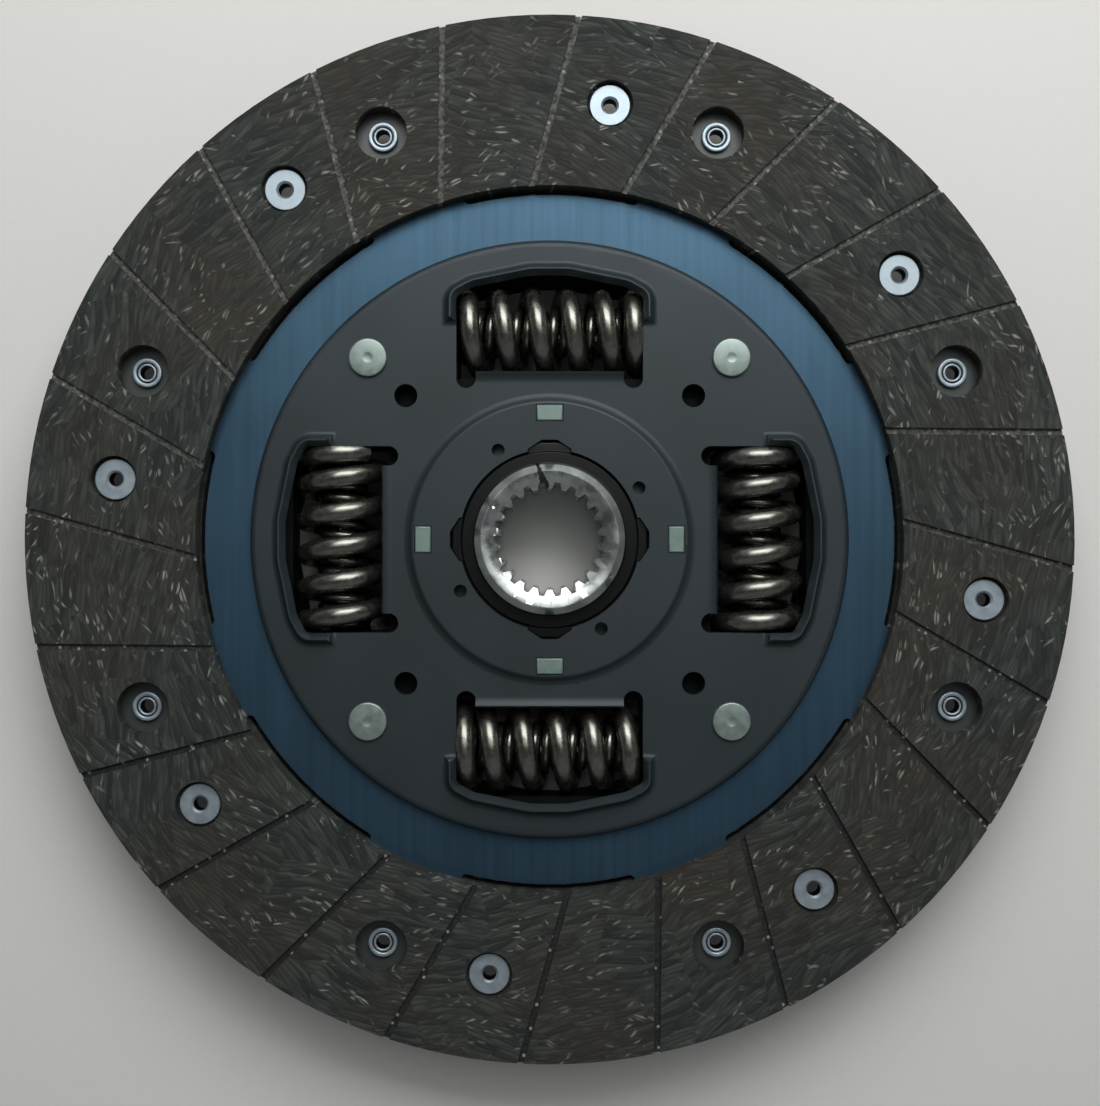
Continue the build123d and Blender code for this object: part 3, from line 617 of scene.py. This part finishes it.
def coil(name, coil_r, wire_r, pitch, closed, rise, grind, turned_by, hand):
    """A spring along X about the origin, with closed ends that are ground flat."""
    reach = SPRING_LENGTH / 2 - grind * wire_r
    end_rise = closed * rise * 2 * wire_r
    turns = 2 * (reach - end_rise) / pitch + 2 * closed
    total = round(turns * 36)
    curve = bpy.data.curves.new(name, "CURVE")
    curve.dimensions = "3D"
    curve.bevel_depth = wire_r
    curve.bevel_resolution = 4
    curve.use_fill_caps = True
    wire = curve.splines.new("POLY")
    wire.points.add(total)
    for i in range(total + 1):
        turn = turns * i / total
        along = pitch * (turn - closed) + end_rise
        along = max(along, 0.0)
        if turn < closed:
            along = end_rise * turn / closed
        elif turn > turns - closed:
            along = 2 * reach - end_rise * (turns - turn) / closed
        angle = hand * 2 * pi * (turn - closed - turned_by) + QUARTER
        wire.points[i].co = (along - reach, coil_r * cos(angle), coil_r * sin(angle), 1)
    piece = bpy.data.objects.new(name, curve)
    bpy.context.collection.objects.link(piece)
    deselect()
    piece.select_set(True)
    bpy.context.view_layer.objects.active = piece
    bpy.ops.object.convert(target="MESH")
    piece = bpy.context.object
    for side in (-1, 1):
        edit(piece)
        bpy.ops.mesh.remove_doubles(threshold=0.001 * MM)
        bpy.ops.mesh.bisect(
            plane_co=(side * SPRING_LENGTH / 2, 0, 0), plane_no=(side, 0, 0),
            use_fill=True, clear_outer=True, threshold=0.001 * MM,
        )
        bpy.ops.mesh.select_all(action="SELECT")
        bpy.ops.mesh.normals_make_consistent(inside=False)
        bpy.ops.object.mode_set(mode="OBJECT")
    smooth(piece, 40)
    return piece


class CLUTCH_OT_facings(bpy.types.Operator):
    """Finishes the two friction facings: worn edges and the wound yarn of their surface"""

    bl_idname = "clutch.facings"
    bl_label = "Friction facings"

    def execute(self, context):
        for side in ("front", "rear"):
            ring = eased(f"{side}_facing", f"friction_ring_{side}", 0.2 * MM)
            dress(ring, "pressed_friction_yarn", "disc", "friction_facing", f"{side}_facing")
        return {"FINISHED"}


class CLUTCH_OT_pressings(bpy.types.Operator):
    """Finishes the pressed steel: both retaining plates and the cushion disc"""

    bl_idname = "clutch.pressings"
    bl_label = "Plates and cushion disc"

    def execute(self, context):
        for side in ("front", "rear"):
            plate = eased(
                f"{side}_retaining_plate", f"pressed_plate_{side}", 0.3 * MM, 0.12 * MM,
                slopes=((0.35 * MM, 29.5 * MM, 29.7 * MM), (0.8 * MM, 30.7 * MM, 30.9 * MM)),
            )
            dress(plate, "phosphated_pressed_steel", "disc", "pressed_steel", f"{side}_retaining_plate")
        strip = eased("cushion_disc", "cushion_spring_disc", 0.12 * MM)
        dress(strip, "tempered_spring_steel", "disc", "blued_spring_steel", "cushion_disc")
        return {"FINISHED"}


class CLUTCH_OT_rivets(bpy.types.Operator):
    """Turns the tubular rivets of the facings, with countersunk heads and rolled ends"""

    bl_idname = "clutch.rivets"
    bl_label = "Facing rivets"

    def execute(self, context):
        size = context.scene.clutch_sizes
        edge = 0.15 * MM
        seat = RIVET_HIGH - size.rivet_head_depth
        roll_top = RIVET_LOW + size.rivet_roll_depth
        bend = 0.3 * MM
        roll_in = size.rivet_shank + 0.25 * MM
        gap_z = RIVET_LOW + size.rivet_roll_depth / 2
        tube_mid = (size.rivet_bore + size.rivet_shank) / 2
        tube_wide = (size.rivet_shank - size.rivet_bore) / 2
        dark_below = RIVET_HIGH - size.rivet_rim - 0.1 * MM
        profile = [
            (size.rivet_bore, dark_below),
            (size.rivet_bore, RIVET_HIGH - size.rivet_rim),
            (size.rivet_bore + size.rivet_rim, RIVET_HIGH),
            (size.rivet_head - edge, RIVET_HIGH),
            (size.rivet_head, RIVET_HIGH - edge),
            (size.rivet_head, seat),
            (size.rivet_shank, seat),
            (size.rivet_shank, roll_top),
        ]
        profile += arc((size.rivet_roll - bend, roll_top - bend), (bend, bend), 90, 0, 3)
        profile += arc((size.rivet_roll - bend, RIVET_LOW + bend), (bend, bend), 0, -90, 4)
        profile += arc((roll_in + bend, RIVET_LOW + bend), (bend, bend), -90, -180, 4)
        profile += [(roll_in, gap_z), (size.rivet_shank, gap_z)]
        profile += arc((tube_mid, RIVET_LOW + bend), (tube_wide, bend / 2), 0, -180, 6)
        profile += [(size.rivet_bore, gap_z)]
        rivet = turned("rivet", profile)
        near = 0.01 * MM
        # Painted shade: the rivet's bore and the crease between its roll and its tube are painted dark.
        paint_shade(rivet, lambda co: abs(co.z - gap_z) < near or (
            co.xy.length < size.rivet_bore + near and gap_z < co.z < dark_below + near))
        turn_over = Matrix.Rotation(pi, 4, "X")
        for side, first, flip in (("front", 37.1, Matrix()), ("rear", 22.5, turn_over)):
            for k in range(8):
                place = around(size.rivet_circle, radians(first + 45 * k)) @ flip
                piece = copied(rivet, f"rivet_{side}_{k + 1}", place)
                dress(piece, "zinc_plated_rivet", "disc", "plated_rivet_steel", f"{side}_facing_rivets")
        bpy.data.objects.remove(rivet)
        return {"FINISHED"}


class CLUTCH_OT_pins(bpy.types.Operator):
    """Turns the stop pins, riveted over at both ends, with the dimple of the punch"""

    bl_idname = "clutch.pins"
    bl_label = "Stop pins"

    def execute(self, context):
        size = context.scene.clutch_sizes
        edge = 0.3 * MM
        dish = 0.35 * MM
        margin = 0.1 * MM
        front_seat = PIN_HIGH - size.pin_head_depth
        rear_seat = PIN_LOW + size.pin_head_depth
        body_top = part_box("cushion_disc")[0].z + 0.35 * MM
        body_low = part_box("rear_friction_washer")[0].z + 1.2 * MM
        profile = [(0, PIN_LOW + dish)]
        profile += [(size.pin_dimple, PIN_LOW), (size.pin_dimple + 2 * margin, PIN_LOW)]
        profile += arc((size.pin_head - edge, PIN_LOW + edge), (edge, edge), -90, 0, 4)
        profile += [
            (size.pin_head, rear_seat),
            (size.pin_neck, rear_seat),
            (size.pin_neck, body_low),
            (size.pin_body, body_low),
            (size.pin_body, body_top),
            (size.pin_neck, body_top),
            (size.pin_neck, front_seat),
            (size.pin_head, front_seat),
        ]
        profile += arc((size.pin_head - edge, PIN_HIGH - edge), (edge, edge), 0, 90, 4)
        profile += [(size.pin_dimple + 2 * margin, PIN_HIGH), (size.pin_dimple, PIN_HIGH)]
        profile += [(0, PIN_HIGH - dish)]
        pin = turned("pin", profile)
        for k in range(WINDOWS):
            piece = copied(pin, f"stop_pin_{k + 1}", around(size.pin_circle, QUARTER * (k + 0.5)))
            dress(piece, "zinc_plated_pin", "disc", "plated_pin_steel", "stop_pins")
        bpy.data.objects.remove(pin)
        return {"FINISHED"}


class CLUTCH_OT_springs(bpy.types.Operator):
    """Winds the damper springs, one inside the other in each window"""

    bl_idname = "clutch.springs"
    bl_label = "Damper springs"

    def execute(self, context):
        size = context.scene.clutch_sizes
        start = (0.0, 0.11, 0.0, -0.25)
        for k in range(WINDOWS):
            outer = coil(f"coil_outer_{k + 1}", size.outer_coil, size.outer_wire, size.outer_pitch,
                         size.outer_closed, size.end_rise, size.end_grind, start[k], 1)
            inner = coil(f"coil_inner_{k + 1}", size.inner_coil, size.inner_wire, size.inner_pitch,
                         size.inner_closed, size.end_rise, size.end_grind, start[k], -1)
            turn = Matrix.Rotation(QUARTER * k, 4, "Z")
            seat = turn @ Matrix.Translation((0, size.spring_circle, SPRING_Z))
            for piece, cad in ((outer, "outer_spring"), (inner, "inner_spring")):
                piece.data.transform(seat)
                dress(piece, "oil_tempered_wire", "springs", "spring_wire", f"{cad}_{k + 1}")
                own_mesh(piece)
        return {"FINISHED"}


class CLUTCH_OT_hub(bpy.types.Operator):
    """Finishes the turned hub with its spline"""

    bl_idname = "clutch.hub"
    bl_label = "Hub"

    def execute(self, context):
        hub = eased("hub", "turned_hub", 0.2 * MM, sharp_from=18)
        dress(hub, "turned_steel", "hub", "machined_steel", "hub")
        return {"FINISHED"}


class CLUTCH_OT_pack(bpy.types.Operator):
    """Finishes the bushes, the lugged thrust washer and the washers of the friction pack"""

    bl_idname = "clutch.pack"
    bl_label = "Bushes and washers"

    def execute(self, context):
        for side in ("front", "rear"):
            bush = eased(f"{side}_hub_bush", f"moulded_bush_{side}", 0.6 * MM, 0.2 * MM, steps=4)
            dress(bush, "moulded_polyamide", "disc", "bush_plastic", f"{side}_hub_bush")
            pad = eased(f"{side}_friction_washer", f"friction_pad_{side}", 0.1 * MM)
            dress(pad, "moulded_friction_pad", "disc", "friction_washer_plastic", f"{side}_friction_washer")
        thrust = eased("lugged_thrust_washer", "thrust_washer", 0.3 * MM, 0.1 * MM)
        thrust_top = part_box("lugged_thrust_washer")[1].z
        lug_foot = thrust_top - 1.0 * MM
        # Painted shade: the washer below the plate is painted dark.
        paint_shade(thrust, lambda co: co.z < lug_foot)
        dress(thrust, "plated_washer", "disc", "plated_washer_steel", "lugged_thrust_washer")
        cone = eased("cone_spring_washer", "cone_spring", 0.08 * MM)
        dress(cone, "phosphated_pressed_steel", "disc", "spring_washer_steel", "cone_spring_washer")
        return {"FINISHED"}


class CLUTCH_OT_stage(bpy.types.Operator):
    """Sets the floor, the lamps, the world and the camera of the photo's view"""

    bl_idname = "clutch.stage"
    bl_label = "Stage"

    def execute(self, context):
        scene = context.scene
        tint = scene.clutch_colours
        deselect()
        bpy.ops.mesh.primitive_plane_add(size=6.0, location=(0, 0, FLOOR_Z))
        floor = context.object
        floor.name = "studio_floor"
        made, tree, shader, place = surface("studio_paper", Roughness=0.9)
        grain = node(tree, "TexNoise", {"Vector": place, "Scale": 1 / (3 * MM), "Detail": 2.0})
        mixed = {0: grain, 6: shaded(tint.floor, 0.97), 7: tint.floor}
        pale = node(tree, "Mix", mixed, 2, data_type="RGBA")
        seen = node(tree, "LightPath", out="Is Camera Ray")
        seen = node(tree, "Math", (seen, seen.node.outputs["Is Glossy Ray"]), operation="MAXIMUM")
        paper = {0: seen, 6: tint.floor_shade, 7: pale}
        tree.links.new(node(tree, "Mix", paper, 2, data_type="RGBA"), shader.inputs["Base Color"])
        far = node(tree, "VectorMath", (place,), "Value", operation="LENGTH")
        far = node(tree, "MapRange", (far, 0.35, 1.6, 0.0, 0.8))
        glow = node(tree, "Math", (seen, far), operation="MULTIPLY")
        shader.inputs["Emission Color"].default_value = (*tint.floor, 1)
        tree.links.new(glow, shader.inputs["Emission Strength"])
        floor.data.materials.append(made)

        # Each lamp's share is the part of a plain level of light that it gives a level surface.
        lamps = (
            ("key", (0.06, 0.38, 0.42), 0.5, 0.32, 0.57),
            ("ceiling", (0.05, 0.44, 1.0), 0.9, 0.6, 0.2),
            ("fill", (0.1, -0.6, 0.65), 1.8, 0.7, 0.05),
            ("window", (0.1, 1.1, 0.25), 1.6, 0.8, 0.03),
        )
        for name, spot, width, height, level in lamps:
            spot = Vector(spot)
            light = bpy.data.lights.new(name, "AREA")
            light.shape = "RECTANGLE"
            light.size = width
            light.size_y = height
            light.energy = level * pi ** 2 * spot.length_squared * spot.length / spot.z
            lamp = bpy.data.objects.new(name, light)
            scene.collection.objects.link(lamp)
            lamp.location = spot
            lamp.rotation_euler = (-spot).to_track_quat("-Z", "Y").to_euler()
            lamp.visible_camera = False

        # The studio's walls are pale near the floor, for the camera and for what shines.
        world = bpy.data.worlds.new("studio")
        world.use_nodes = True
        tree = world.node_tree
        sky = tree.nodes["Background"]
        sky.inputs["Color"].default_value = (0.92, 0.96, 1.0, 1)
        up = node(tree, "SeparateXYZ", (node(tree, "TexCoord"),), "Z")
        wall = node(tree, "MapRange", (up, 0.2, 0.6, 1.0, 0.0))
        path = node(tree, "LightPath", out="Is Glossy Ray")
        path = node(tree, "Math", (path, 0.2), operation="MULTIPLY")
        camera_ray = path.node.inputs[0].links[0].from_node.outputs["Is Camera Ray"]
        path = node(tree, "Math", (path, camera_ray), operation="MAXIMUM")
        wall = node(tree, "Math", (wall, path), operation="MULTIPLY")
        tree.links.new(node(tree, "Math", (wall, 0.7, 0.08), operation="MULTIPLY_ADD"), sky.inputs["Strength"])
        scene.world = world

        camera = bpy.data.cameras.new("photo_view")
        distance = 300 * MM
        frame_height = 237 * MM
        camera.sensor_width = 36.0
        camera.lens = camera.sensor_width * distance / frame_height
        camera.clip_start = 0.01
        shot = bpy.data.objects.new("photo_view", camera)
        scene.collection.objects.link(shot)
        shot.location = (0.07 * MM, -2.9 * MM, FACE_Z + distance)
        scene.camera = shot
        scene.view_settings.view_transform = "Standard"
        return {"FINISHED"}


class CLUTCH_PT_panel(bpy.types.Panel):
    """Sizes, colours and steps of the clutch disc"""

    bl_idname = "CLUTCH_PT_panel"
    bl_label = "Clutch disc"
    bl_space_type = "VIEW_3D"
    bl_region_type = "UI"
    bl_category = "Clutch"

    def draw(self, context):
        for group in (context.scene.clutch_sizes, context.scene.clutch_colours):
            column = self.layout.column()
            for name in group.__annotations__:
                column.prop(group, name)
        for operator in STEPS:
            self.layout.operator(operator.bl_idname)


GROUPS = (ClutchSizes, ClutchColours)
STEPS = (
    CLUTCH_OT_stage,
    CLUTCH_OT_facings,
    CLUTCH_OT_pressings,
    CLUTCH_OT_rivets,
    CLUTCH_OT_pins,
    CLUTCH_OT_springs,
    CLUTCH_OT_hub,
    CLUTCH_OT_pack,
)


def register():
    for kind in (*GROUPS, *STEPS, CLUTCH_PT_panel):
        bpy.utils.register_class(kind)
    bpy.types.Scene.clutch_sizes = bpy.props.PointerProperty(type=ClutchSizes)
    bpy.types.Scene.clutch_colours = bpy.props.PointerProperty(type=ClutchColours)


def unregister():
    del bpy.types.Scene.clutch_colours
    del bpy.types.Scene.clutch_sizes
    for kind in reversed((*GROUPS, *STEPS, CLUTCH_PT_panel)):
        bpy.utils.unregister_class(kind)


def main():
    register()
    for operator in STEPS:
        family, action = operator.bl_idname.split(".")
        getattr(getattr(bpy.ops, family), action)()


if __name__ == "__main__":
    main()
